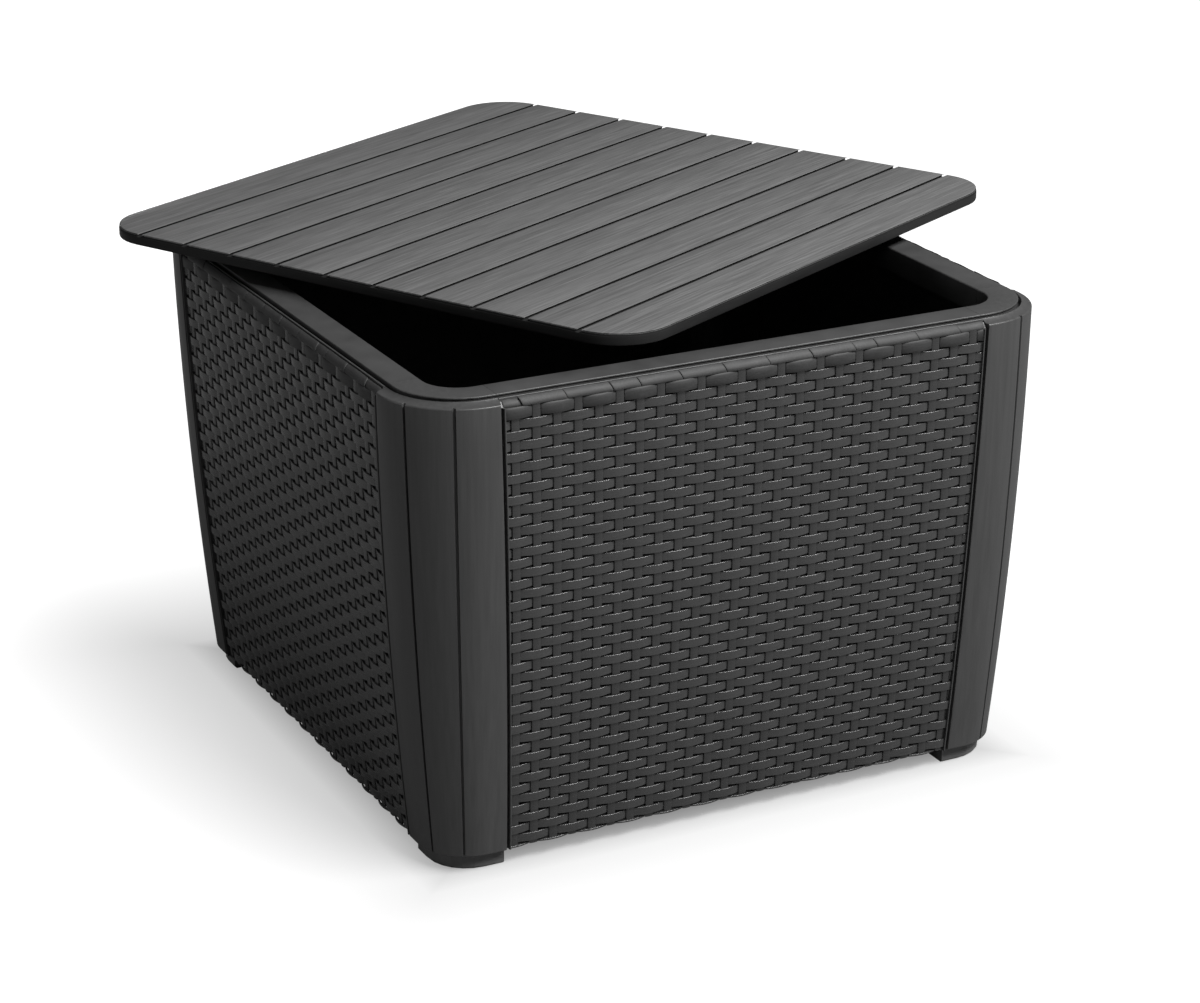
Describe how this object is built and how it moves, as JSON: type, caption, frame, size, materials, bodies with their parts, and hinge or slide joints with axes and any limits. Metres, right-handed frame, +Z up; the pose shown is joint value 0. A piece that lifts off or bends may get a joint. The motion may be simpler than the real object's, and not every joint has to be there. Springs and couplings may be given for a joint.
{
  "type": "storage table",
  "caption": "Low square patio table and storage box in grey resin: woven-look side panels between rounded planked corner posts, under a loose slatted lid left askew on the rim.",
  "frame": {"origin": "on the floor, under the centre of the box", "axes": "+Z up, the front panel faces -Y, +X to the right seen from the front"},
  "size_m": [0.7742, 0.8072, 0.4545],
  "materials": {
    "lid_resin": "moulded resin with a fine wood grain along the slats",
    "panel_resin": "moulded resin with a woven cane relief",
    "post_resin": "moulded resin with a faint upright grain",
    "foot_resin": "plain moulded resin"
  },
  "bodies": {
    "box": {"floor_panel": "panel_resin", "front_panel": "panel_resin", "back_panel": "panel_resin", "left_panel": "panel_resin", "right_panel": "panel_resin", "front_left_post": "post_resin", "front_left_foot": "foot_resin", "front_right_post": "post_resin", "front_right_foot": "foot_resin", "back_left_post": "post_resin", "back_left_foot": "foot_resin", "back_right_post": "post_resin", "back_right_foot": "foot_resin"},
    "lid": {"lid": "lid_resin"}
  },
  "joints": [
    {"name": "lid_lift", "type": "slide", "parent": "box", "child": "lid", "axis": [0, 0, 1], "range_m": [0, 0.35]}
  ]
}
